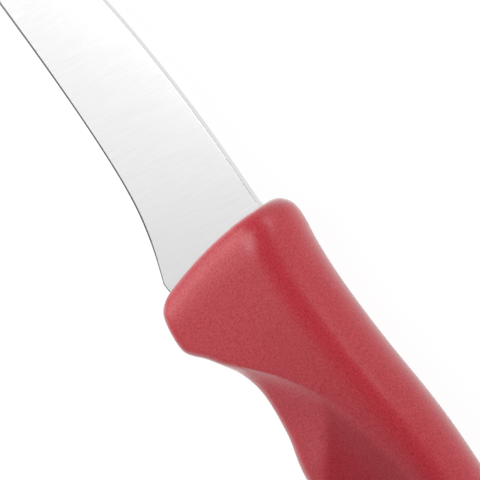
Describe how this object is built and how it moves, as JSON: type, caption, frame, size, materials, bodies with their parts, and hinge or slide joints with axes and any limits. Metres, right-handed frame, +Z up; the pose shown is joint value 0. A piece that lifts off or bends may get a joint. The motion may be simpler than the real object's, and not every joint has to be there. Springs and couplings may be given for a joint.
{
  "type": "peeling knife",
  "caption": "Small peeling knife with a curved beak-shaped steel blade moulded into a sculpted plastic handle with a finger groove and dished grips.",
  "frame": {"origin": "bottom centre of the knife's box, on the surface that it lies on", "axes": "+X from the blade to the butt of the handle, +Y from the cutting edge to the spine, +Z up through the thickness, with the knife lying on its side"},
  "size_m": [0.1736, 0.0262, 0.0148],
  "materials": {
    "blade_steel": "finely brushed stainless steel, the brush lines running across the blade",
    "handle_plastic": "matt red plastic with a fine moulded grain"
  },
  "bodies": {
    "root": {"blade": "blade_steel", "handle": "handle_plastic"}
  },
  "joints": []
}
